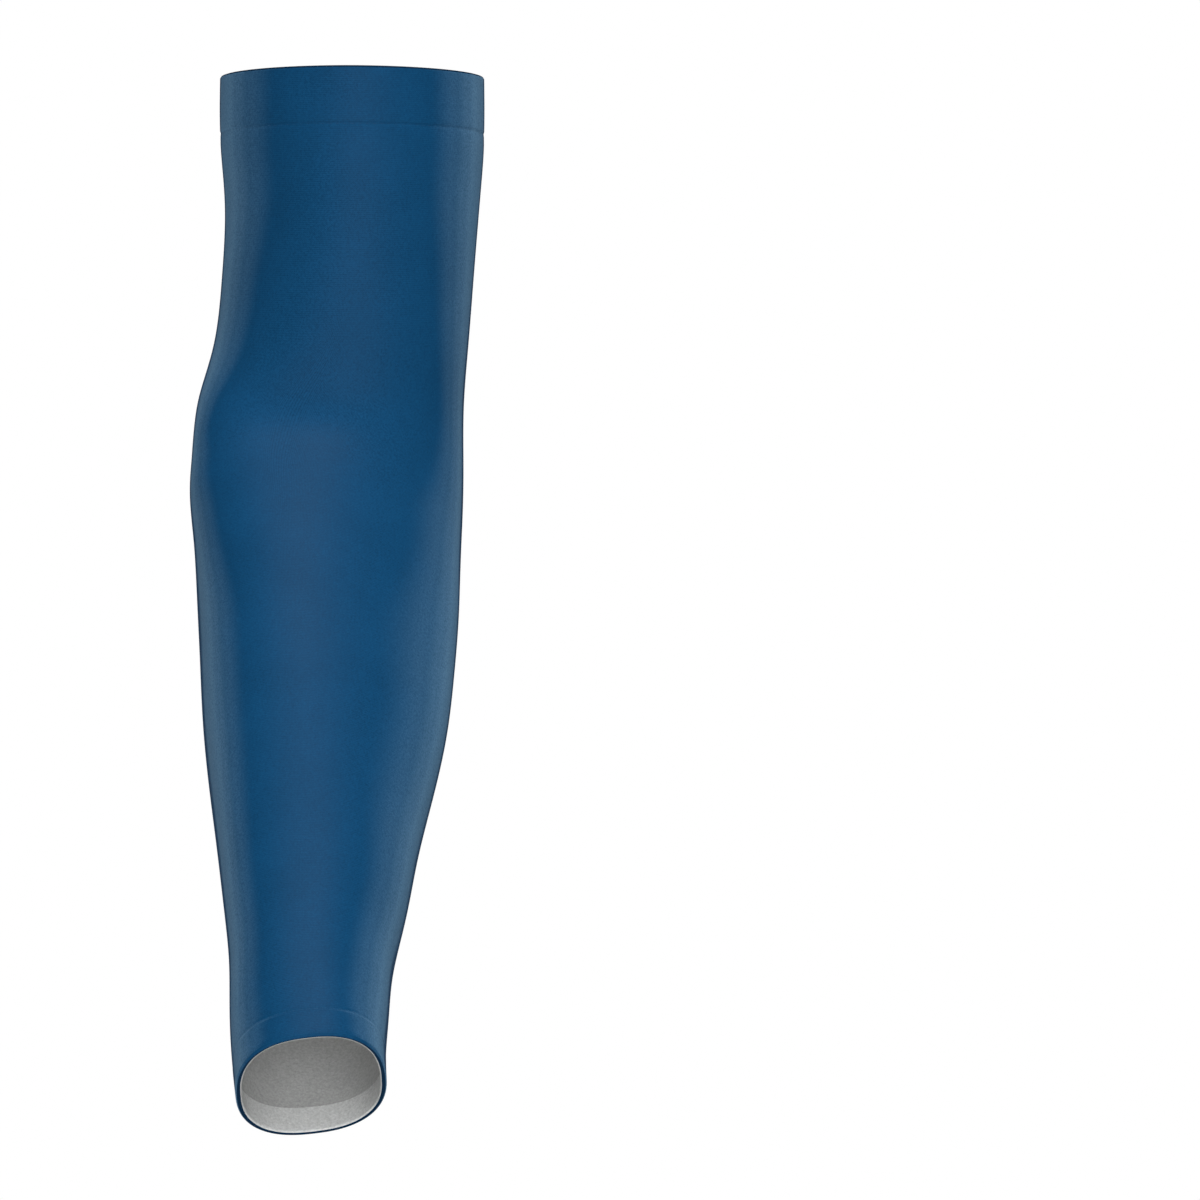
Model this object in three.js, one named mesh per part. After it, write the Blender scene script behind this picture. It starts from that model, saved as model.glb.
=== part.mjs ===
// Arm sleeve of fine blue knit, in the form that it has on a slightly bent arm.
// Millimetres. +Z is up, -Y is the front of the arm and +X is its inner side.
// The origin is the middle of the upper rim. The forearm comes forward below the elbow.
import * as THREE from 'three';

// Cloth
const WALL = 1.0; // one layer of knit
const HEM_WALL = 2.0; // two layers, folded over at the rim
const HEM_PROUD = 0.2; // how far a hem stands out from the tube
const UPPER_HEM = 20; // height of the band round the upper arm
const WRIST_HEM = 10.5; // height of the band round the wrist
const SEAM_GAP = 0.3; // between a hem and the tube
const SEAM_DIP = 0.35; // how deep the cloth is drawn in beside a seam
const SEAM_DRAW = 1.2; // how far from the seam it is drawn in

// Arm line: straight down, then bent forward at the elbow, then straight again
const LENGTH = 395.5; // from rim to rim along the arm line
const BEND = THREE.MathUtils.degToRad(39);
const BEND_FROM = 85;
const BEND_TO = 185;

// Each section is a rounded oval across the arm line
const SECTIONS = [
  // along: place on the arm line        side: where its middle is, sideways
  // wide: half of its width             front, back: half depths
  // lean: how far its foremost point lies to the side, where the forearm's muscle is
  // cant: how far the outer side of the section is turned down the arm, in degrees
  // square: how square the oval is, 2 for an ellipse
  { along: 0, side: 0, wide: 46, front: 46, back: 46, lean: 0, cant: 0, square: 1.92 },
  { along: 20, side: 0, wide: 46, front: 46, back: 46, lean: 0, cant: 0, square: 1.92 },
  { along: 45, side: 0, wide: 44.5, front: 46, back: 46, lean: 0, cant: 0, square: 1.95 },
  { along: 70, side: -1.5, wide: 44, front: 45.5, back: 46, lean: 0, cant: 0, square: 2.05 },
  { along: 95, side: -4, wide: 44.5, front: 44.5, back: 47, lean: -1, cant: 0, square: 2.3 },
  { along: 115, side: -7, wide: 46, front: 43.5, back: 48.5, lean: -6, cant: 0, square: 2.6 },
  { along: 134, side: -7.2, wide: 46.2, front: 43, back: 48.5, lean: -12, cant: 0, square: 2.75 },
  { along: 148, side: -7.2, wide: 46.2, front: 43.5, back: 47, lean: -14, cant: 0, square: 2.7 },
  { along: 163, side: -7.5, wide: 46.2, front: 44.5, back: 45.5, lean: -15, cant: 0, square: 2.55 },
  { along: 178, side: -7, wide: 45.5, front: 45, back: 44.5, lean: -15, cant: 0, square: 2.4 },
  { along: 198, side: -6.4, wide: 44.7, front: 44.5, back: 43, lean: -14, cant: 0, square: 2.2 },
  { along: 223, side: -6, wide: 43.2, front: 42.5, back: 41.5, lean: -12.5, cant: 0, square: 2.1 },
  { along: 248, side: -6, wide: 41.2, front: 40.5, back: 39.5, lean: -10.5, cant: 0, square: 2.1 },
  { along: 273, side: -6.5, wide: 37.7, front: 37.5, back: 37, lean: -8.5, cant: 0, square: 2.15 },
  { along: 298, side: -7, wide: 33.6, front: 34.5, back: 34.5, lean: -6, cant: 0, square: 2.25 },
  { along: 323, side: -7, wide: 30.1, front: 32, back: 31.5, lean: -4, cant: 1, square: 2.35 },
  { along: 348.5, side: -7.5, wide: 26.6, front: 30.5, back: 29.5, lean: -2.5, cant: 3, square: 2.4 },
  { along: 368.5, side: -7.5, wide: 25.6, front: 30, back: 28, lean: -1.5, cant: 5, square: 2.4 },
  { along: 384.5, side: -7, wide: 24.6, front: 30, back: 26.5, lean: 0, cant: 7, square: 2.4 },
  { along: 395.5, side: -6, wide: 24.1, front: 30, back: 26, lean: 0, cant: 8, square: 2.4 },
];

// Mesh
const AROUND = 40; // facets round the arm
const RING = 12; // most that two rings of the tube lie apart
const FOLD = 4; // facets round a hem's folded rim

const BLUE = 0x15466e;

// Natural cubic spline through one column of the sections.
function spline(column) {
  const x = SECTIONS.map((section) => section.along);
  const y = SECTIONS.map((section) => section[column]);
  const last = x.length - 1;
  const bend = new Array(last + 1).fill(0);
  const carry = new Array(last + 1).fill(0);
  for (let i = 1; i < last; i += 1) {
    const before = x[i] - x[i - 1];
    const after = x[i + 1] - x[i];
    const pivot = 2 * (before + after) - before * carry[i - 1];
    const turn = 6 * ((y[i + 1] - y[i]) / after - (y[i] - y[i - 1]) / before);
    carry[i] = after / pivot;
    bend[i] = (turn - before * bend[i - 1]) / pivot;
  }
  for (let i = last - 1; i > 0; i -= 1) {
    bend[i] -= carry[i] * bend[i + 1];
  }
  return (along) => {
    const place = x.findLastIndex((value) => value <= along);
    const i = Math.min(Math.max(place, 0), last - 1);
    const span = x[i + 1] - x[i];
    const b = (along - x[i]) / span;
    const a = 1 - b;
    const curve = (a ** 3 - a) * bend[i] + (b ** 3 - b) * bend[i + 1];
    return a * y[i] + b * y[i + 1] + (curve * span * span) / 6;
  };
}

const column = {};
for (const name of ['side', 'wide', 'front', 'back', 'lean', 'cant', 'square']) {
  column[name] = spline(name);
}

function tilt(along) {
  return BEND * THREE.MathUtils.smoothstep(along, BEND_FROM, BEND_TO);
}

// Middle of the section at a place on the arm line, added up in short steps.
function armLine(along) {
  const steps = Math.max(1, Math.round(along));
  const step = along / steps;
  const point = new THREE.Vector3();
  for (let i = 0; i < steps; i += 1) {
    const angle = tilt((i + 0.5) * step);
    point.y -= Math.sin(angle) * step;
    point.z -= Math.cos(angle) * step;
  }
  return point;
}

// Point on the outer face of a section, across the arm and towards its front.
function outline(along, turn) {
  const c = Math.cos(turn);
  const s = Math.sin(turn);
  const power = 2 / column.square(along);
  const u = Math.sign(c) * Math.abs(c) ** power;
  const v = Math.sign(s) * Math.abs(s) ** power;
  const deep = v > 0 ? column.front(along) : column.back(along);
  const lean = column.lean(along) * Math.max(v, 0) ** 2;
  return new THREE.Vector2(column.wide(along) * u + lean, deep * v);
}

// One ring of points round the arm, sunk below the cloth's outer face by depth.
function ring(along, depth) {
  const slant = Math.tan(THREE.MathUtils.degToRad(column.cant(along)));
  const angle = tilt(along);
  const down = new THREE.Vector3(0, -Math.sin(angle), -Math.cos(angle));
  const forward = new THREE.Vector3(0, -Math.cos(angle), Math.sin(angle));
  const middle = armLine(along);
  middle.x += column.side(along);
  const points = [];
  for (let i = 0; i < AROUND; i += 1) {
    const turn = (2 * Math.PI * i) / AROUND;
    const tangent = outline(along, turn + 0.01).sub(outline(along, turn - 0.01)).normalize();
    const place = outline(along, turn);
    place.x -= depth * tangent.y;
    place.y += depth * tangent.x;
    const point = middle.clone();
    point.x += place.x;
    point.addScaledVector(forward, place.y);
    point.addScaledVector(down, -place.x * slant);
    points.push(point);
  }
  return points;
}

// Closed band of cloth. The profile goes down the outer face and back up the inner one.
function band(profile) {
  const positions = [];
  for (const { along, depth } of profile) {
    for (const point of ring(along, depth)) {
      positions.push(point.x, point.y, point.z);
    }
  }
  const index = [];
  for (let i = 0; i < profile.length; i += 1) {
    const next = (i + 1) % profile.length;
    for (let j = 0; j < AROUND; j += 1) {
      const beside = (j + 1) % AROUND;
      const a = i * AROUND + j;
      const b = i * AROUND + beside;
      const c = next * AROUND + beside;
      const d = next * AROUND + j;
      index.push(a, b, c, a, c, d);
    }
  }
  const geometry = new THREE.BufferGeometry();
  geometry.setAttribute('position', new THREE.Float32BufferAttribute(positions, 3));
  geometry.setIndex(index);
  geometry.computeVertexNormals();
  return geometry;
}

function evenly(from, to, most) {
  const count = Math.max(1, Math.ceil(Math.abs(to - from) / most));
  return Array.from({ length: count + 1 }, (_, i) => from + ((to - from) * i) / count);
}

function bodyProfile() {
  const top = UPPER_HEM + SEAM_GAP / 2;
  const bottom = LENGTH - WRIST_HEM - SEAM_GAP / 2;
  const places = evenly(top + SEAM_DRAW, bottom - SEAM_DRAW, RING);
  const outer = places.map((along) => ({ along, depth: 0 }));
  const inner = places.map((along) => ({ along, depth: WALL })).reverse();
  return [
    { along: top, depth: SEAM_DIP },
    ...outer,
    { along: bottom, depth: SEAM_DIP },
    { along: bottom, depth: WALL },
    ...inner,
    { along: top, depth: WALL },
  ];
}

// A hem from its folded rim to its seam. Away is 1 down the arm and -1 up the arm.
function hemProfile(rim, seam, away) {
  const outside = -HEM_PROUD;
  const inside = HEM_WALL - HEM_PROUD;
  const radius = HEM_WALL / 2;
  const edge = seam - (away * SEAM_GAP) / 2;
  const places = evenly(rim + away * radius, edge - away * SEAM_DRAW, RING / 2);
  const outer = places.map((along) => ({ along, depth: outside }));
  const inner = places.map((along) => ({ along, depth: inside })).reverse();
  const fold = [];
  for (let i = 1; i < FOLD; i += 1) {
    const turn = (Math.PI * i) / FOLD;
    fold.push({
      along: rim + away * radius * (1 - Math.sin(turn)),
      depth: outside + radius * (1 + Math.cos(turn)),
    });
  }
  const profile = [
    ...outer,
    { along: edge, depth: SEAM_DIP },
    { along: edge, depth: inside },
    ...inner,
    ...fold,
  ];
  return away > 0 ? profile : profile.reverse();
}

function cloth(name, profile) {
  const material = new THREE.MeshStandardMaterial({ color: BLUE, roughness: 0.85, metalness: 0 });
  const mesh = new THREE.Mesh(band(profile), material);
  mesh.name = name;
  return mesh;
}

const sleeve = new THREE.Group();
sleeve.name = 'arm_sleeve';
sleeve.add(cloth('sleeve_body', bodyProfile()));
sleeve.add(cloth('upper_hem', hemProfile(0, UPPER_HEM, 1)));
sleeve.add(cloth('wrist_hem', hemProfile(LENGTH, LENGTH - WRIST_HEM, -1)));

export default sleeve;
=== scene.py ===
"""Arm sleeve of fine blue knit, in the form that it has on a slightly bent arm.

The cloth is a stretched tube with a folded hem at each end, dark blue outside and pale grey inside.
Metres. +Z is up, -Y is the front of the arm and +X is its inner side.
"""

import math
from collections import namedtuple

import bpy
import numpy as np
from bpy.props import FloatProperty, FloatVectorProperty, IntProperty, PointerProperty
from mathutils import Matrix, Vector


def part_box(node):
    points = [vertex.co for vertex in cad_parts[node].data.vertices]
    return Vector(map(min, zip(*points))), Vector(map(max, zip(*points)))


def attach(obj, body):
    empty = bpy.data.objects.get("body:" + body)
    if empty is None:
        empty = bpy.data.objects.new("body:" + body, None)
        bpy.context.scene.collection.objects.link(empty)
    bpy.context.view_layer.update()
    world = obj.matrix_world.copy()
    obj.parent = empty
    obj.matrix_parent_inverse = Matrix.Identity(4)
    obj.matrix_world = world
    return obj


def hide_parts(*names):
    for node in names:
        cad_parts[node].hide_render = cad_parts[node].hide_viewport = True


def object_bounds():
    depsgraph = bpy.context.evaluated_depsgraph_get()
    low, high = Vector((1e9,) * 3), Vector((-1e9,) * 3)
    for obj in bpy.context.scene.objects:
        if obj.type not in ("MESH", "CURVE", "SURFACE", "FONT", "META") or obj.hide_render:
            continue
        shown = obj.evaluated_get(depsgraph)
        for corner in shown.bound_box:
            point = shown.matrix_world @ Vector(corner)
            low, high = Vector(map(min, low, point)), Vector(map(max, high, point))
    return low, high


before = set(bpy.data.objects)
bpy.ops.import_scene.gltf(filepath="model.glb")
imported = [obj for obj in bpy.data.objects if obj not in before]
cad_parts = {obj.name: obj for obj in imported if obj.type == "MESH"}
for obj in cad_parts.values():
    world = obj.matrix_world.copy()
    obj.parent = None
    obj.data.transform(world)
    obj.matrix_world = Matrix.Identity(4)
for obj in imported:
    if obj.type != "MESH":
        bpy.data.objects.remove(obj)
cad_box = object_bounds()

bl_info = {
    "name": "Arm Sleeve",
    "version": (1, 0, 0),
    "blender": (4, 5, 0),
    "location": "3D View > Sidebar > Sleeve",
    "description": "Builds a stretched knit arm sleeve with folded hems, its seams and its stage",
    "category": "Object",
}

MM = 0.001
BODY = "root"
KNIT_MAP = "knit"  # the UV map that the knit follows
OUTWARD = "outward"  # a seam path's attribute that says which way the cloth faces

# Sections of the arm, each a rounded oval across the arm line, in millimetres and degrees.
# along: place on the arm line            side: where its middle is, sideways
# wide: half of its width                 front, back: half depths
# lean: how far its foremost point lies to the side, where the forearm's muscle is
# cant: how far the outer side of the section is turned down the arm
# square: how square the oval is, 2 for an ellipse
Section = namedtuple("Section", "along side wide front back lean cant square")
SECTIONS = (
    Section(0, 0, 46, 46, 46, 0, 0, 1.92),
    Section(20, 0, 46, 46, 46, 0, 0, 1.92),
    Section(45, 0, 44.5, 46, 46, 0, 0, 1.95),
    Section(70, -1.5, 44, 45.5, 46, 0, 0, 2.05),
    Section(95, -4, 44.5, 44.5, 47, -1, 0, 2.3),
    Section(115, -7, 46, 43.5, 48.5, -6, 0, 2.6),
    Section(134, -7.2, 46.2, 43, 48.5, -12, 0, 2.75),
    Section(148, -7.2, 46.2, 43.5, 47, -14, 0, 2.7),
    Section(163, -7.5, 46.2, 44.5, 45.5, -15, 0, 2.55),
    Section(178, -7, 45.5, 45, 44.5, -15, 0, 2.4),
    Section(198, -6.4, 44.7, 44.5, 43, -14, 0, 2.2),
    Section(223, -6, 43.2, 42.5, 41.5, -12.5, 0, 2.1),
    Section(248, -6, 41.2, 40.5, 39.5, -10.5, 0, 2.1),
    Section(273, -6.5, 37.7, 37.5, 37, -8.5, 0, 2.15),
    Section(298, -7, 33.6, 34.5, 34.5, -6, 0, 2.25),
    Section(323, -7, 30.1, 32, 31.5, -4, 1, 2.35),
    Section(348.5, -7.5, 26.6, 30.5, 29.5, -2.5, 3, 2.4),
    Section(368.5, -7.5, 25.6, 30, 28, -1.5, 5, 2.4),
    Section(384.5, -7, 24.6, 30, 26.5, 0, 7, 2.4),
    Section(395.5, -6, 24.1, 30, 26, 0, 8, 2.4),
)

# How finely the cloth is drawn
AROUND = 216  # points round the arm
TURNS = np.linspace(0, 2 * math.pi, AROUND, endpoint=False)  # from the inner side to the front
TURN_STEP = 0.01  # radians, for the direction of the outline at a point
LINE_POINTS = 1600  # on the arm line, which is straight from one to the next
OUTER_STEP = 2.6 * MM  # between rings of the outer face
INNER_STEP = 5.0 * MM  # between rings of the inner face
GROOVE_RINGS = 5  # across one side of a seam's groove
FOLD_RINGS = 11  # round a folded rim
EDGE_RINGS = (4, 7)  # those between which its painted dark edge lies
CORNER = math.radians(50)  # the wall's ends are turned more than this, its folds less
BOX_SLACK = 2.0 * MM  # between the cloth and the solid that it stands for
THREAD_SINK = 0.32  # how far a stitch is pressed in, as a share of its thickness

# Where the painted shade of a rim's dark edge starts and ends, as shares of the way round its fold
Edge = namedtuple("Edge", "back front")
UPPER_EDGE = Edge(back=(0.1, 0.7), front=(0.1, 0.7))
WRIST_EDGE = Edge(back=(0.3, 0.72), front=(0.42, 0.5))

# Finishes of the two faces.
# tones: shares of its colour, from the gaps between the loops to their tops
# fuzz, grain: marks of the fibres, and how dark and light they make the yarn
# cloud, clouds: marks of the dye, and how dark and light they make the yarn
# relief: how high the loops and the fibres stand, and bump how strongly that shows
Noise = namedtuple("Noise", "scale detail roughness")
Knit = namedtuple("Knit", "tones fuzz grain cloud clouds relief bump")
BLUE_KNIT = Knit(
    tones=(0.72, 1.12),
    fuzz=Noise(1500, 4.0, 0.7),
    grain=(0.78, 1.2),
    cloud=Noise(55, 3.0, 0.6),
    clouds=(0.93, 1.05),
    relief=(0.7, 0.6),
    bump=0.12,
)
GREY_KNIT = Knit(
    tones=(0.86, 1.0),
    fuzz=Noise(1100, 4.0, 0.75),
    grain=(0.74, 1.15),
    cloud=Noise(90, 2.0, 0.6),
    clouds=(0.95, 1.03),
    relief=(0.4, 1.0),
    bump=0.4,
)
EDGE_TONES = (0.32, 0.5)  # of the thread's colour, for the painted shade at the rims
THREAD_TONES = (0.7, 1.2)  # of its colour, from the gaps between the plies to their tops
BUMP_DEPTH = 0.25 * MM
NOISE_RANGE = (0.3, 0.7)  # in which most of a noise's values lie
BLUE_LOOPS = ((0.0, 0.25), (0.75, 1.0))  # how light the blue yarn is, by the height of its loop
BLUE_ROUGHNESS = ((0.2, 0.42), (0.8, 0.5))  # by the fuzz

# Painted sheen of the fibre ends, mixed into the outer face's colour by how far the face is turned away
SHEEN_RISE = ((0.25, 0.0), (0.44, 0.28), (0.56, 0.56), (0.68, 0.93))
SHEEN_DROP = ((0.84, 1.0), (0.91, 0.0))  # the painted sheen falls away at the silhouette, which paints a dark outline of the yarn's colour there
SHEEN_GRAIN = (0.45, 1.35)
# How strongly the painted sheen shows, by the share of the height: it is weaker at the elbow.
# At the level it shows as it does on most of the cloth.
SHEEN_LEVEL = 0.5
SHEEN_BY_HEIGHT = ((0.2, 0.5), (0.36, 0.53), (0.47, 0.5), (0.57, 0.42), (0.67, 0.41), (0.78, 0.48), (0.9, 0.55))

# Painted light on the inner faces: how pale they are, by the share of the height
TUBE_PAINTED_LIGHT = ((0.02, 0.87), (0.12, 1.5))  # painted light: lighter further in from the wrist, against the shade deeper inside the sleeve
HEM_PAINTED_LIGHT = ((0.0, 1.1), (0.03, 0.94))  # painted light: lighter at the bottom of the wrist rim, where the light comes in at the opening

# Lights. gleams: whether the cloth's gloss shows it
Lamp = namedtuple("Lamp", "name place size gleams")
LAMPS = (
    Lamp("key", (0.43, -2.1, -0.07), 1.5, gleams=True),
    Lamp("fill", (-0.25, -2.1, -0.6), 1.2, gleams=True),
    Lamp("top", (0.2, -0.74, 1.91), 0.9, gleams=True),
    Lamp("left", (-1.6, 1.4, -0.5), 1.4, gleams=False),
    Lamp("right", (1.6, 1.4, 0.7), 1.4, gleams=False),
)
LAMP_AIM = (-0.005, -0.06, -0.18)  # near the middle of the sleeve

# Floor and background
WHITE = (1, 1, 1, 1)
PALE_PAINT = ((0.86, 0.86, 0.86, 1), (0.88, 0.88, 0.88, 1))
PAINT_SPECKS = Noise(30, 2.0, 0.6)
FLOOR_HALF = 8.0  # half of its side

NODE_SPACE = 180  # from one node to the next in the editor


class SleeveSizes(bpy.types.PropertyGroup):
    """Sizes of the sleeve."""

    wall: FloatProperty(
        name="Wall", description="Thickness of one layer of knit", default=1.0 * MM, unit="LENGTH"
    )
    hem_wall: FloatProperty(
        name="Hem Wall", description="Thickness of a folded hem", default=2.0 * MM, unit="LENGTH"
    )
    upper_hem: FloatProperty(
        name="Upper Hem",
        description="Height of the band round the upper arm",
        default=20 * MM,
        unit="LENGTH",
    )
    upper_proud: FloatProperty(
        name="Upper Hem Stands Out",
        description="How far the upper hem stands out from the tube",
        default=0.18 * MM,
        unit="LENGTH",
    )
    wrist_hem: FloatProperty(
        name="Wrist Hem",
        description="Height of the band round the wrist",
        default=10.5 * MM,
        unit="LENGTH",
    )
    wrist_proud: FloatProperty(
        name="Wrist Hem Stands Out",
        description="How far the wrist hem stands out from the tube",
        default=0.06 * MM,
        unit="LENGTH",
    )
    seam_dip: FloatProperty(
        name="Seam Depth",
        description="How deep a seam draws the cloth in",
        default=0.05 * MM,
        unit="LENGTH",
    )
    seam_draw: FloatProperty(
        name="Seam Reach",
        description="How far from the seam the cloth is drawn in",
        default=1.1 * MM,
        unit="LENGTH",
    )
    swell: FloatProperty(
        name="Swell",
        description="How far the tube swells out below the upper seam",
        default=0.25 * MM,
        unit="LENGTH",
    )
    swell_place: FloatProperty(
        name="Swell Place",
        description="How far below the upper seam it swells most",
        default=6 * MM,
        unit="LENGTH",
    )
    bend: FloatProperty(
        name="Bend",
        description="How far the forearm comes forward",
        default=math.radians(39),
        subtype="ANGLE",
    )
    bend_from: FloatProperty(
        name="Bend From",
        description="Where the bend starts on the arm line",
        default=85 * MM,
        unit="LENGTH",
    )
    bend_to: FloatProperty(
        name="Bend To",
        description="Where the bend ends on the arm line",
        default=185 * MM,
        unit="LENGTH",
    )
    stitch_space: FloatProperty(
        name="Stitch Spacing",
        description="From one seam stitch to the next",
        default=2.6 * MM,
        unit="LENGTH",
    )
    stitch_length: FloatProperty(
        name="Stitch Length", description="Length of a seam stitch", default=2.1 * MM, unit="LENGTH"
    )
    stitch_sway: FloatProperty(
        name="Stitch Sway",
        description="How far a stitch may lie out of line",
        default=math.radians(4),
        subtype="ANGLE",
    )
    thread: FloatProperty(
        name="Thread", description="Thickness of the sewing thread", default=0.18 * MM, unit="LENGTH"
    )
    wales: IntProperty(name="Wales", description="Columns of knit loops round the arm", default=340)
    courses: IntProperty(name="Courses", description="Rows of knit loops per metre", default=1500)


class SleeveColours(bpy.types.PropertyGroup):
    """Colours of the sleeve."""

    blue: FloatVectorProperty(
        name="Outside",
        description="Outer face of the knit",
        default=(0.0048, 0.0535, 0.135),
        subtype="COLOR",
    )
    # painted sheen: the pale colour mixed into the outer face where it is seen along it
    painted_sheen: FloatVectorProperty(
        name="Haze",
        description="Fibre ends of the outer face, seen along it",
        default=(0.096, 0.212, 0.342),
        subtype="COLOR",
    )
    grey: FloatVectorProperty(
        name="Inside",
        description="Inner face of the tube",
        default=(0.46, 0.465, 0.46),
        subtype="COLOR",
    )
    # painted light: a lighter copy of the inner grey, for the light that reaches the inside near the
    # openings
    hem_grey: FloatVectorProperty(
        name="Hem Inside",
        description="Inner face of the hems",
        default=(0.7, 0.71, 0.705),
        subtype="COLOR",
    )
    thread: FloatVectorProperty(
        name="Thread",
        description="Sewing thread of the seams",
        default=(0.0046, 0.047, 0.12),
        subtype="COLOR",
    )


class SleeveStage(bpy.types.PropertyGroup):
    """Camera, floor and lights."""

    camera: FloatVectorProperty(
        name="Camera",
        description="Where the camera stands",
        default=(0.0867, -2.0, -0.183),
        subtype="TRANSLATION",
    )
    view_width: FloatProperty(
        name="View Width",
        description="Width of the picture at the arm line",
        default=0.42,
        unit="LENGTH",
    )
    floor: FloatProperty(name="Floor", description="Height of the floor", default=-1.3, unit="LENGTH")
    sky: FloatProperty(name="Sky", description="Light from all round", default=0.07)
    key: FloatProperty(
        name="Key", description="Power of the soft front light", default=27, unit="POWER"
    )
    fill: FloatProperty(
        name="Fill", description="Power of the low front light", default=8, unit="POWER"
    )
    top: FloatProperty(
        name="Top", description="Power of the soft light above", default=39, unit="POWER"
    )
    left: FloatProperty(
        name="Left", description="Power of the light behind, left", default=19, unit="POWER"
    )
    right: FloatProperty(
        name="Right", description="Power of the light behind, right", default=10, unit="POWER"
    )


def spline(column):
    """Natural cubic spline through one column of the sections, by the place on the arm line."""
    x = np.array([section.along for section in SECTIONS], float)
    y = np.array([getattr(section, column) for section in SECTIONS], float)
    gap = np.diff(x)
    slope = np.diff(y) / gap
    system = np.eye(len(x))
    turn = np.zeros(len(x))
    for i in range(1, len(x) - 1):
        system[i, i - 1 : i + 2] = gap[i - 1], 2 * (gap[i - 1] + gap[i]), gap[i]
        turn[i] = 6 * (slope[i] - slope[i - 1])
    curl = np.linalg.solve(system, turn)

    def value(along):
        place = np.asarray(along) / MM
        i = np.clip(np.searchsorted(x, place, side="right") - 1, 0, len(x) - 2)
        b = (place - x[i]) / gap[i]
        a = 1 - b
        curve = (a**3 - a) * curl[i] + (b**3 - b) * curl[i + 1]
        return a * y[i] + b * y[i + 1] + curve * gap[i] ** 2 / 6

    return value


COLUMN = {name: spline(name) for name in Section._fields[1:]}
LENGTH = SECTIONS[-1].along * MM


def sizes():
    return bpy.context.scene.sleeve_sizes


def colours():
    return bpy.context.scene.sleeve_colours


def tilt(along):
    """How far the arm line leans forward at a place on it."""
    size = sizes()
    t = np.clip((along - size.bend_from) / (size.bend_to - size.bend_from), 0, 1)
    return size.bend * t * t * (3 - 2 * t)


def arm_line(along):
    """Depth and height of the arm line at a place on it, added up in short steps."""
    places = np.linspace(0, LENGTH, LINE_POINTS)
    angle = tilt((places[1:] + places[:-1]) / 2)
    step = np.diff(places)
    y = np.concatenate([[0], np.cumsum(-np.sin(angle) * step)])
    z = np.concatenate([[0], np.cumsum(-np.cos(angle) * step)])
    return np.interp(along, places, y), np.interp(along, places, z)


def outline(along, turn):
    """Point on the outer face of a section, across the arm and towards its front."""
    c, s = np.cos(turn), np.sin(turn)
    power = 2 / COLUMN["square"](along)
    u = np.sign(c) * np.abs(c) ** power
    v = np.sign(s) * np.abs(s) ** power
    deep = np.where(v > 0, COLUMN["front"](along), COLUMN["back"](along))
    lean = COLUMN["lean"](along) * np.maximum(v, 0) ** 2
    return np.stack([COLUMN["wide"](along) * u + lean, deep * v], axis=-1) * MM


def cloth_points(along, depth):
    """Rings of points round the arm, a row for each ring, sunk below the cloth's outer face."""
    tangent = outline(along, TURNS + TURN_STEP) - outline(along, TURNS - TURN_STEP)
    tangent /= np.linalg.norm(tangent, axis=-1, keepdims=True)
    place = outline(along, TURNS)
    across = place[..., 0] - depth * tangent[..., 1]
    ahead = place[..., 1] + depth * tangent[..., 0]
    drop = -across * np.tan(np.radians(COLUMN["cant"](along)))
    angle = tilt(along)
    y, z = arm_line(along)
    return np.stack(
        [
            across + COLUMN["side"](along) * MM,
            y - np.cos(angle) * ahead - np.sin(angle) * drop,
            z + np.sin(angle) * ahead - np.cos(angle) * drop,
        ],
        axis=-1,
    )


Ring = namedtuple("Ring", "along depth fold")  # fold: its number among the rings of the fold
OUTER, INNER, EDGE = 0, 1, 2  # faces of the cloth and the painted shade of its rims, in the order of its materials


def face_shown(fold):
    """Which of the cloth's faces and its painted dark edge shows at a place among the rings of the fold.
    """
    first, last = EDGE_RINGS
    if fold < first:
        return OUTER
    return EDGE if fold < last else INNER


def fold_turns(edge):
    """Angles of the rings round a folded rim, with a column for each point round the arm."""
    ahead = np.maximum(np.sin(TURNS), 0)
    start, end = (back + (front - back) * ahead for back, front in zip(edge.back, edge.front))
    first, last = EDGE_RINGS
    outer = np.linspace(0, start, first + 1)
    dark = np.linspace(start, end, last - first + 1)
    inner = np.linspace(end, 1, FOLD_RINGS - last + 1)
    return math.pi * np.concatenate([outer[1:], dark[1:], inner[1:-1]])


def drawn_in(distance):
    """Share of a seam's depth at a distance from it, from 1 in the seam to 0 beyond its reach."""
    near = np.clip(distance / sizes().seam_draw, 0, 1)
    return 0.5 + 0.5 * math.cos(math.pi * near)


def swell(distance):
    """How far the tube swells out at a distance below the upper seam."""
    size = sizes()
    share = distance / size.swell_place
    return size.swell * share * math.exp(1 - share)


def evenly(start, end, most):
    """Places from start to end, no two further apart than most."""
    count = max(1, math.ceil(abs(end - start) / most))
    return np.linspace(start, end, count + 1)


def seam_places(seam, away):
    """Places across one side of a groove, from the seam outwards."""
    return [seam + away * sizes().seam_draw * i / GROOVE_RINGS for i in range(GROOVE_RINGS + 1)]


def tube_rings():
    """Section of the tube's wall: down the outer face and back up the inner one."""
    size = sizes()
    top, bottom = size.upper_hem, LENGTH - size.wrist_hem
    upper, lower = seam_places(top, 1), seam_places(bottom, -1)
    places = [*upper, *evenly(upper[-1], lower[-1], OUTER_STEP)[1:-1], *reversed(lower)]
    rings = []
    for place in places:
        dip = size.seam_dip * drawn_in(min(place - top, bottom - place))
        rings.append(Ring(place, dip - swell(place - top), 0))
    rings += [Ring(place, size.wall, FOLD_RINGS) for place in evenly(bottom, top, INNER_STEP)]
    return rings


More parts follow.
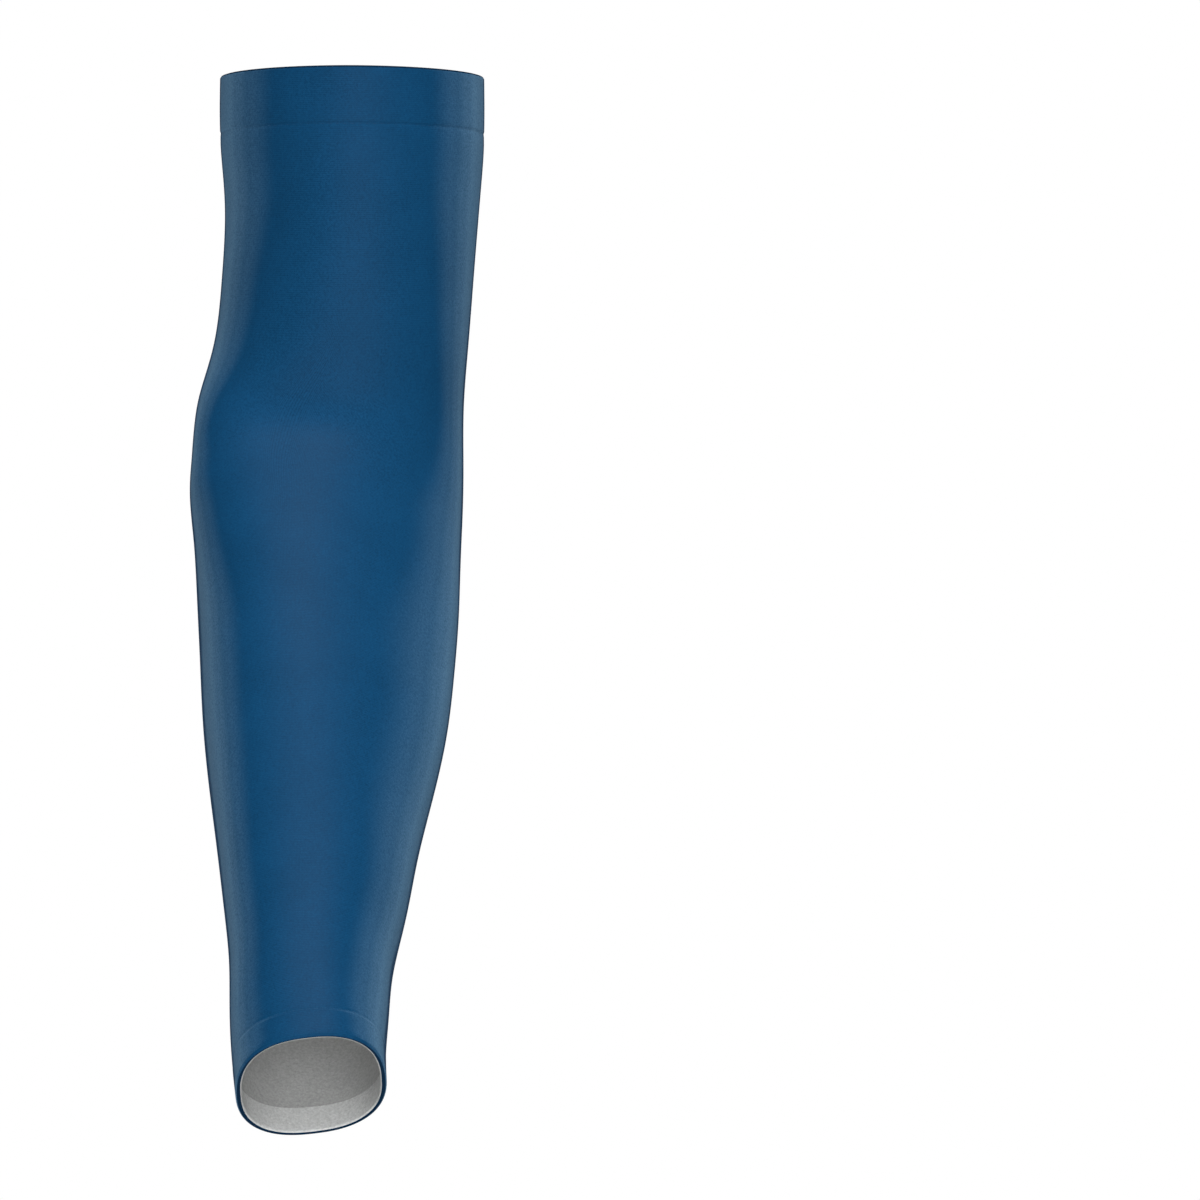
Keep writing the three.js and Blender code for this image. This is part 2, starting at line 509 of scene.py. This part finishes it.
def hem_rings(rim, seam, proud, edge):
    """Section of a hem's wall: the outer face from its seam, the fold round the rim, the lining."""
    size = sizes()
    away = 1 if seam > rim else -1
    outside, inside = -proud, size.hem_wall - proud
    radius = size.hem_wall / 2
    sewn = seam_places(seam, -away)
    flat = evenly(sewn[-1], rim + away * radius, OUTER_STEP)
    dip = size.seam_dip - outside
    rings = [Ring(place, outside + dip * drawn_in(abs(seam - place)), 0) for place in sewn]
    rings += [Ring(place, outside, 0) for place in flat[1:]]
    for i, turn in enumerate(fold_turns(edge), 1):
        along = rim + away * radius * (1 - np.sin(turn))
        depth = outside + radius * (1 - np.cos(turn))
        rings.append(Ring(along, depth, i))
    lining = evenly(flat[-1], seam, OUTER_STEP)
    depths = np.linspace(inside, size.wall, len(lining))
    rings += [Ring(place, depth, FOLD_RINGS) for place, depth in zip(lining, depths)]
    return rings if away < 0 else rings[::-1]


def piece(name, points, faces):
    """New object of plain faces, in the scene."""
    mesh = bpy.data.meshes.new(name)
    mesh.from_pydata([tuple(p) for p in points], [], faces)
    made = bpy.data.objects.new(name, mesh)
    bpy.context.scene.collection.objects.link(made)
    return made


def cloth(name, node, rings, inner):
    """Closed band of cloth round the arm, blue outside and grey inside, with the knit's own map."""
    count = len(rings)
    along = np.stack([np.broadcast_to(r.along, AROUND) for r in rings])
    depth = np.stack([np.broadcast_to(r.depth, AROUND) for r in rings])
    points = cloth_points(along, depth)
    steps = np.linalg.norm(np.diff(points, axis=0), axis=-1).mean(axis=1)
    run = np.concatenate([[0], np.cumsum(steps)])
    run = np.append(run, run[-1])
    faces, shown, corners = [], [], []
    for i in range(count):
        j = (i + 1) % count
        shown += [face_shown((rings[i].fold + rings[j].fold) / 2)] * AROUND
        for k in range(AROUND):
            m = (k + 1) % AROUND
            faces.append((i * AROUND + k, i * AROUND + m, j * AROUND + m, j * AROUND + k))
            left, right = k / AROUND, (k + 1) / AROUND
            corners += [(left, run[i]), (right, run[i]), (right, run[i + 1]), (left, run[i + 1])]
    made = piece(name, points.reshape(-1, 3), faces)
    mesh = made.data
    mesh.uv_layers.new(name=KNIT_MAP).data.foreach_set("uv", np.array(corners, np.float32).ravel())
    mesh.polygons.foreach_set("material_index", shown)
    mesh.shade_smooth()
    mesh.set_sharp_from_angle(angle=CORNER)
    for finish in (outside_knit(), inner, painted_shade_edge()):
        mesh.materials.append(finish)
    if mesh.validate():
        raise RuntimeError(f"{name}: the mesh had faults")
    fit(made, node)
    settle(made, node)
    return made


def fit(made, node):
    """Raises an error if a piece isn't where its solid is."""
    points = np.empty(len(made.data.vertices) * 3, np.float32)
    made.data.vertices.foreach_get("co", points)
    points = points.reshape(-1, 3)
    solid = np.array([list(corner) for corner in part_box(node)])
    off = np.abs(np.stack([points.min(0), points.max(0)]) - solid).max()
    if off > BOX_SLACK:
        raise RuntimeError(f"{made.name} is {off / MM:.1f} mm off the solid {node}")


def settle(made, node=None):
    """A finished piece rides on the part's one body and hides the solid that it stands for."""
    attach(made, BODY)
    if node:
        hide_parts(node)


class Nodes:
    """The nodes of a material or another tree, added and linked in short lines."""

    def __init__(self, tree):
        self.tree = tree
        self.tree.nodes.clear()
        self.column = 0

    def add(self, kind, inputs=None, **settings):
        made = self.tree.nodes.new(kind)
        made.location = (self.column, 0)
        self.column += NODE_SPACE
        for key, value in settings.items():
            setattr(made, key, value)
        for key, value in (inputs or {}).items():
            self.feed(made.inputs[key], value)
        return made

    def feed(self, socket, value):
        if isinstance(value, bpy.types.NodeSocket):
            self.tree.links.new(value, socket)
        else:
            socket.default_value = value

    def math(self, operation, first, second=0.0):
        made = self.add("ShaderNodeMath", {0: first, 1: second}, operation=operation)
        return made.outputs[0]

    def ramp(self, factor, stops, ease="LINEAR"):
        """Curve from a factor to a grey value, through (place, value) stops."""
        made = self.add("ShaderNodeValToRGB", {"Fac": factor})
        made.color_ramp.interpolation = ease
        points = made.color_ramp.elements
        while len(points) < len(stops):
            points.new(0.5)
        for point, (place, value) in zip(points, stops):
            point.position = place
            point.color = (value, value, value, 1)
        return made.outputs["Color"]

    def mix(self, factor, first, second, blend="MIX"):
        made = self.add("ShaderNodeMix", data_type="RGBA", blend_type=blend)
        for name, value in (("Factor_Float", factor), ("A_Color", first), ("B_Color", second)):
            socket = next(s for s in made.inputs if s.identifier == name)
            self.feed(socket, value)
        return next(s for s in made.outputs if s.identifier == "Result_Color")

    def place(self):
        return self.add("ShaderNodeTexCoord").outputs["Object"]

    def noise(self, kind):
        inputs = {"Vector": self.place(), "Scale": kind.scale}
        inputs |= {"Detail": kind.detail, "Roughness": kind.roughness}
        return self.add("ShaderNodeTexNoise", inputs).outputs["Fac"]

    def marks(self, noise, values):
        """Noise that goes from the one value to the other."""
        return self.ramp(noise, tuple(zip(NOISE_RANGE, values)))

    def surface(self, inputs):
        """Ends a material in one shader."""
        shader = self.add("ShaderNodeBsdfPrincipled", inputs)
        self.add("ShaderNodeOutputMaterial", {"Surface": shader.outputs["BSDF"]})


def material(name):
    made = bpy.data.materials.new(name)
    made.use_nodes = True
    return made, Nodes(made.node_tree)


def opaque(colour):
    return (*colour, 1)


def toned(colour, tones):
    """A colour at each of its tones."""
    return [opaque([c * tone for c in colour]) for tone in tones]


def height_share(nodes):
    """Height on the sleeve, from 0 at its lowest point to 1 at its highest."""
    height = nodes.add("ShaderNodeSeparateXYZ", {"Vector": nodes.place()}).outputs["Z"]
    low, high = cad_box
    made = nodes.add("ShaderNodeMapRange", {"Value": height, "From Min": low[2], "From Max": high[2]})
    return made.outputs["Result"]


def knit_height(nodes):
    """Height of jersey knit on the cloth's own map: columns of loops, each a pair of slanting legs."""
    size = sizes()
    uv = nodes.add("ShaderNodeUVMap", uv_map=KNIT_MAP).outputs["UV"]
    split = nodes.add("ShaderNodeSeparateXYZ", {"Vector": uv})
    column = nodes.math("MULTIPLY", split.outputs["X"], size.wales)
    row = nodes.math("MULTIPLY", split.outputs["Y"], size.courses)
    half = nodes.math("PINGPONG", column, 0.5)
    leg = nodes.math("SINE", nodes.math("MULTIPLY", half, 2 * math.pi))
    slant = nodes.math("ADD", row, half)
    yarn = nodes.math("SINE", nodes.math("MULTIPLY", nodes.math("FRACT", slant), math.pi))
    return nodes.math("MULTIPLY", leg, yarn)


def knit_yarn(nodes, knit, colour, light, fuzz):
    """Colour of a knit's yarn, lighter on its loops, with grain and clouds."""
    yarn = nodes.mix(light, *toned(colour, knit.tones))
    yarn = nodes.mix(1.0, yarn, nodes.marks(fuzz, knit.grain), "MULTIPLY")
    return nodes.mix(1.0, yarn, nodes.marks(nodes.noise(knit.cloud), knit.clouds), "MULTIPLY")


def knit_relief(nodes, knit, loops, fuzz):
    """Normal of a knit's face, with its loops and fibres standing up."""
    high, fine = knit.relief
    height = nodes.math("ADD", nodes.math("MULTIPLY", loops, high), nodes.math("MULTIPLY", fuzz, fine))
    bump = nodes.add("ShaderNodeBump", {"Height": height, "Strength": knit.bump, "Distance": BUMP_DEPTH})
    return bump.outputs["Normal"]


def painted_fibre_sheen(nodes, yarn, fuzz):
    """Painted sheen of the fibre ends: the yarn's colour is mixed towards a pale colour where the cloth
    is seen along its face.
    """
    facing = nodes.add("ShaderNodeLayerWeight", {"Blend": 0.5}).outputs["Facing"]
    # the painted sheen is shifted by height, weaker at the elbow
    sheen_shift = nodes.ramp(height_share(nodes), SHEEN_BY_HEIGHT, "EASE")
    sheen_facing = nodes.math("SUBTRACT", nodes.math("ADD", facing, sheen_shift), SHEEN_LEVEL)
    sheen_share = nodes.ramp(sheen_facing, SHEEN_RISE, "EASE")
    sheen_share = nodes.math("MULTIPLY", sheen_share, nodes.ramp(facing, SHEEN_DROP, "EASE"))
    sheen_share = nodes.math("MULTIPLY", sheen_share, nodes.marks(fuzz, SHEEN_GRAIN))
    return nodes.mix(sheen_share, yarn, opaque(colours().painted_sheen))


def outside_knit():
    """Dark blue knit with fine grain and a painted sheen of fibre ends in its colour."""
    if "blue_knit_outside" in bpy.data.materials:
        return bpy.data.materials["blue_knit_outside"]
    made, nodes = material("blue_knit_outside")
    loops, fuzz = knit_height(nodes), nodes.noise(BLUE_KNIT.fuzz)
    yarn = knit_yarn(nodes, BLUE_KNIT, colours().blue, nodes.ramp(loops, BLUE_LOOPS), fuzz)
    nodes.surface(
        {
            "Base Color": painted_fibre_sheen(nodes, yarn, fuzz),
            "Roughness": nodes.ramp(fuzz, BLUE_ROUGHNESS),
            "Normal": knit_relief(nodes, BLUE_KNIT, loops, fuzz),
            "Specular IOR Level": 0.036,
            "Sheen Weight": 0.01,
            "Sheen Roughness": 0.4,
        }
    )
    return made


def inside_knit(name, grey, painted_light):
    """Pale grey inner face, with short brushed fibres over the loops, and painted light graded by
    height.
    """
    made, nodes = material(name)
    loops, fuzz = knit_height(nodes), nodes.noise(GREY_KNIT.fuzz)
    yarn = knit_yarn(nodes, GREY_KNIT, grey, loops, fuzz)
    nodes.surface(
        {
            "Base Color": nodes.mix(1.0, yarn, nodes.ramp(height_share(nodes), painted_light), "MULTIPLY"),
            "Roughness": 0.9,
            "Normal": knit_relief(nodes, GREY_KNIT, loops, fuzz),
            "Specular IOR Level": 0.1,
            "Sheen Weight": 0.05,
            "Sheen Roughness": 0.5,
        }
    )
    return made


def painted_shade_edge():
    """Deep navy of the rims: painted shade on the fold, where it turns away from the light."""
    if "navy_edge" in bpy.data.materials:
        return bpy.data.materials["navy_edge"]
    made, nodes = material("navy_edge")
    base = nodes.mix(knit_height(nodes), *toned(colours().thread, EDGE_TONES))
    nodes.surface({"Base Color": base, "Roughness": 0.8, "Specular IOR Level": 0.05})
    return made


def sewing_thread():
    """Navy thread of the seams, with the fine slant of its plies and the cloth's painted sheen."""
    made, nodes = material("navy_thread")
    plies = nodes.add(
        "ShaderNodeTexWave",
        {"Vector": nodes.place(), "Scale": 900, "Distortion": 1.5},
        bands_direction="DIAGONAL",
    ).outputs["Fac"]
    yarn = nodes.mix(plies, *toned(colours().thread, THREAD_TONES))
    bump = nodes.add("ShaderNodeBump", {"Height": plies, "Strength": 0.3, "Distance": 0.05 * MM})
    nodes.surface(
        {
            "Base Color": painted_fibre_sheen(nodes, yarn, nodes.noise(BLUE_KNIT.fuzz)),
            "Roughness": 0.6,
            "Normal": bump.outputs["Normal"],
            "Specular IOR Level": 0.15,
        }
    )
    return made


STITCH_INPUTS = (
    ("Spacing", "NodeSocketFloat"),
    ("Length", "NodeSocketFloat"),
    ("Thread", "NodeSocketFloat"),
    ("Sway", "NodeSocketFloat"),
    ("Seed", "NodeSocketInt"),
    ("Material", "NodeSocketMaterial"),
)


def stitch_tree():
    """Geometry nodes that lay stitches end to end along a closed path."""
    tree = bpy.data.node_groups.new("seam_stitches", "GeometryNodeTree")
    tree.interface.new_socket("Geometry", in_out="INPUT", socket_type="NodeSocketGeometry")
    for name, kind in STITCH_INPUTS:
        tree.interface.new_socket(name, in_out="INPUT", socket_type=kind)
    tree.interface.new_socket("Geometry", in_out="OUTPUT", socket_type="NodeSocketGeometry")
    nodes = Nodes(tree)
    given = nodes.add("NodeGroupInput").outputs
    path = nodes.add("GeometryNodeMeshToCurve", {"Mesh": given["Geometry"]})
    path = nodes.add("GeometryNodeResampleCurve", {"Curve": path.outputs["Curve"]}, mode="LENGTH")
    nodes.feed(path.inputs["Length"], given["Spacing"])
    tangent = nodes.add("GeometryNodeInputTangent").outputs["Tangent"]
    outward = nodes.add("GeometryNodeInputNamedAttribute", {"Name": OUTWARD}, data_type="FLOAT_VECTOR")
    turn = nodes.add("FunctionNodeAlignRotationToVector", {"Vector": tangent}, axis="X")
    turn = nodes.add(
        "FunctionNodeAlignRotationToVector",
        {"Rotation": turn.outputs["Rotation"], "Vector": outward.outputs["Attribute"]},
        axis="Z",
        pivot_axis="X",
    )
    least = nodes.math("MULTIPLY", given["Sway"], -1.0)
    sway = nodes.add("FunctionNodeRandomValue", data_type="FLOAT")
    limits = {"Min_001": least, "Max_001": given["Sway"], "Seed": given["Seed"]}
    for socket in sway.inputs:
        if socket.identifier in limits:
            nodes.feed(socket, limits[socket.identifier])
    angle = next(s for s in sway.outputs if s.identifier == "Value_001")
    swing = nodes.add("FunctionNodeAxisAngleToRotation", {"Axis": (0, 0, 1), "Angle": angle})
    turn = nodes.add(
        "FunctionNodeRotateRotation",
        {"Rotation": turn.outputs["Rotation"], "Rotate By": swing.outputs["Rotation"]},
        rotation_space="LOCAL",
    )
    half_length = nodes.math("MULTIPLY", given["Length"], 0.5)
    half_thread = nodes.math("MULTIPLY", given["Thread"], 0.5)
    shape = nodes.add("ShaderNodeCombineXYZ", {"X": half_length, "Y": half_thread, "Z": half_thread})
    bead = nodes.add("GeometryNodeMeshIcoSphere", {"Radius": 1.0, "Subdivisions": 2})
    stitch = nodes.add(
        "GeometryNodeTransform", {"Geometry": bead.outputs["Mesh"], "Scale": shape.outputs["Vector"]}
    )
    stitch = nodes.add("GeometryNodeSetShadeSmooth", {"Geometry": stitch.outputs["Geometry"]})
    laid = nodes.add(
        "GeometryNodeInstanceOnPoints",
        {
            "Points": path.outputs["Curve"],
            "Instance": stitch.outputs["Geometry"],
            "Rotation": turn.outputs["Rotation"],
        },
    )
    real = nodes.add("GeometryNodeRealizeInstances", {"Geometry": laid.outputs["Instances"]})
    dyed = nodes.add(
        "GeometryNodeSetMaterial", {"Geometry": real.outputs["Geometry"], "Material": given["Material"]}
    )
    nodes.add("NodeGroupOutput", {"Geometry": dyed.outputs["Geometry"]})
    return tree


def seam_path(name, along):
    """Closed line of points in a seam's groove, each with the way that the cloth faces there."""
    size = sizes()
    sunk = size.seam_dip + size.thread * THREAD_SINK
    here = np.full((1, AROUND), along)
    points, outer = cloth_points(here, sunk)[0], cloth_points(here, 0.0)[0]
    outward = (outer - points) / np.linalg.norm(outer - points, axis=1, keepdims=True)
    made = piece(name, points, [])
    made.data.edges.add(AROUND)
    ends = [(k, (k + 1) % AROUND) for k in range(AROUND)]
    made.data.edges.foreach_set("vertices", np.array(ends, np.int32).ravel())
    attribute = made.data.attributes.new(OUTWARD, "FLOAT_VECTOR", "POINT")
    attribute.data.foreach_set("vector", outward.astype(np.float32).ravel())
    made.data.update()
    return made


def sew(name, along, tree, thread, seed):
    """One seam's row of stitches, as a plain mesh."""
    size = sizes()
    made = seam_path(name, along)
    modifier = made.modifiers.new("stitches", "NODES")
    modifier.node_group = tree
    values = {
        "Spacing": size.stitch_space,
        "Length": size.stitch_length,
        "Thread": size.thread,
        "Sway": size.stitch_sway,
        "Seed": seed,
        "Material": thread,
    }
    for socket in tree.interface.items_tree:
        if socket.in_out == "INPUT" and socket.name in values:
            modifier[socket.identifier] = values[socket.name]
    sewn = made.evaluated_get(bpy.context.evaluated_depsgraph_get())
    mesh = bpy.data.meshes.new_from_object(sewn)
    made.modifiers.clear()
    made.data = mesh
    if not mesh.polygons:
        raise RuntimeError(f"{name}: no stitches were made")
    return made


class OBJECT_OT_sleeve_hems(bpy.types.Operator):
    """Make the folded hems round the upper arm and the wrist"""

    bl_idname = "object.sleeve_hems"
    bl_label = "Hems"

    def execute(self, context):
        size = sizes()
        inner = inside_knit("grey_hem_inside", colours().hem_grey, HEM_PAINTED_LIGHT)
        upper = hem_rings(0, size.upper_hem, size.upper_proud, UPPER_EDGE)
        wrist = hem_rings(LENGTH, LENGTH - size.wrist_hem, size.wrist_proud, WRIST_EDGE)
        cloth("upper_hem_knit", "upper_hem", upper, inner)
        cloth("wrist_hem_knit", "wrist_hem", wrist, inner)
        return {"FINISHED"}


class OBJECT_OT_sleeve_stitches(bpy.types.Operator):
    """Sew the row of stitches in each seam"""

    bl_idname = "object.sleeve_stitches"
    bl_label = "Stitches"

    def execute(self, context):
        size = sizes()
        tree, thread = stitch_tree(), sewing_thread()
        settle(sew("upper_stitches", size.upper_hem, tree, thread, seed=3))
        settle(sew("wrist_stitches", LENGTH - size.wrist_hem, tree, thread, seed=7))
        return {"FINISHED"}


class OBJECT_OT_sleeve_tube(bpy.types.Operator):
    """Make the stretched tube of knit between the hems"""

    bl_idname = "object.sleeve_tube"
    bl_label = "Tube"

    def execute(self, context):
        inner = inside_knit("grey_knit_inside", colours().grey, TUBE_PAINTED_LIGHT)
        made = cloth("tube_knit", "sleeve_body", tube_rings(), inner)
        return {"FINISHED"}


def soft_light(lamp, power):
    """Round soft light, aimed at the sleeve."""
    light = bpy.data.lights.new(lamp.name, "AREA")
    light.energy = power
    light.shape = "DISK"
    light.size = lamp.size
    made = bpy.data.objects.new(lamp.name, light)
    made.location = lamp.place
    made.rotation_euler = (Vector(LAMP_AIM) - Vector(lamp.place)).to_track_quat("-Z", "Y").to_euler()
    made.visible_camera = False
    made.visible_glossy = lamp.gleams
    bpy.context.scene.collection.objects.link(made)


def lit_and_seen(nodes, lit, seen):
    """One shader for the light in the scene and another for what the picture shows."""
    rays = nodes.add("ShaderNodeLightPath").outputs["Is Camera Ray"]
    return nodes.add("ShaderNodeMixShader", {0: rays, 1: lit, 2: seen}).outputs[0]


def white_world(strength):
    """White all round in the picture, with its light at a strength of its own."""
    world = bpy.data.worlds.new("studio")
    world.use_nodes = True
    nodes = Nodes(world.node_tree)
    seen = nodes.add("ShaderNodeBackground", {"Color": WHITE, "Strength": 1.0})
    lit = nodes.add("ShaderNodeBackground", {"Color": WHITE, "Strength": strength})
    both = lit_and_seen(nodes, lit.outputs[0], seen.outputs[0])
    nodes.add("ShaderNodeOutputWorld", {"Surface": both})
    bpy.context.scene.world = world


def pale_floor(height):
    """Floor of pale paint that is as white in the picture as what is behind it."""
    sides = ((-1, -1), (1, -1), (1, 1), (-1, 1))
    corners = [(x * FLOOR_HALF, y * FLOOR_HALF, height) for x, y in sides]
    made = piece("floor", corners, [(0, 1, 2, 3)])
    finish, nodes = material("pale_floor")
    paint = nodes.mix(nodes.noise(PAINT_SPECKS), *PALE_PAINT)
    lit = nodes.add(
        "ShaderNodeBsdfPrincipled", {"Base Color": paint, "Roughness": 0.9, "Specular IOR Level": 0.1}
    )
    seen = nodes.add("ShaderNodeEmission", {"Color": WHITE, "Strength": 1.0})
    both = lit_and_seen(nodes, lit.outputs["BSDF"], seen.outputs[0])
    nodes.add("ShaderNodeOutputMaterial", {"Surface": both})
    made.data.materials.append(finish)


class SCENE_OT_sleeve_stage(bpy.types.Operator):
    """Set the floor, the lights and the camera"""

    bl_idname = "scene.sleeve_stage"
    bl_label = "Stage"

    def execute(self, context):
        scene, stage = context.scene, context.scene.sleeve_stage
        scene.view_settings.view_transform = "Standard"
        scene.view_settings.look = "None"
        white_world(stage.sky)
        pale_floor(stage.floor)
        for lamp in LAMPS:
            soft_light(lamp, getattr(stage, lamp.name))
        camera = bpy.data.cameras.new("camera")
        camera.lens = camera.sensor_width * abs(stage.camera[1]) / stage.view_width
        holder = bpy.data.objects.new("camera", camera)
        holder.location = stage.camera
        holder.rotation_euler = (math.pi / 2, 0, 0)
        scene.collection.objects.link(holder)
        scene.camera = holder
        return {"FINISHED"}


class VIEW3D_PT_sleeve(bpy.types.Panel):
    """Lists the pieces of the sleeve and their sizes"""

    bl_label = "Arm Sleeve"
    bl_space_type = "VIEW_3D"
    bl_region_type = "UI"
    bl_category = "Sleeve"

    def draw(self, context):
        layout = self.layout
        for operator in OPERATORS:
            layout.operator(operator.bl_idname)
        for name, group in GROUPS.items():
            column = layout.column()
            for value in group.__annotations__:
                column.prop(getattr(context.scene, name), value)


GROUPS = {"sleeve_sizes": SleeveSizes, "sleeve_colours": SleeveColours, "sleeve_stage": SleeveStage}
OPERATORS = (
    OBJECT_OT_sleeve_hems,
    OBJECT_OT_sleeve_stitches,
    OBJECT_OT_sleeve_tube,
    SCENE_OT_sleeve_stage,
)
CLASSES = (*GROUPS.values(), *OPERATORS, VIEW3D_PT_sleeve)


def register():
    for each in CLASSES:
        bpy.utils.register_class(each)
    for name, group in GROUPS.items():
        setattr(bpy.types.Scene, name, PointerProperty(type=group))


def unregister():
    for name in GROUPS:
        delattr(bpy.types.Scene, name)
    for each in reversed(CLASSES):
        bpy.utils.unregister_class(each)


def main():
    register()
    bpy.ops.object.sleeve_hems()
    bpy.ops.object.sleeve_stitches()
    bpy.ops.object.sleeve_tube()
    bpy.ops.scene.sleeve_stage()


if __name__ == "__main__":
    main()
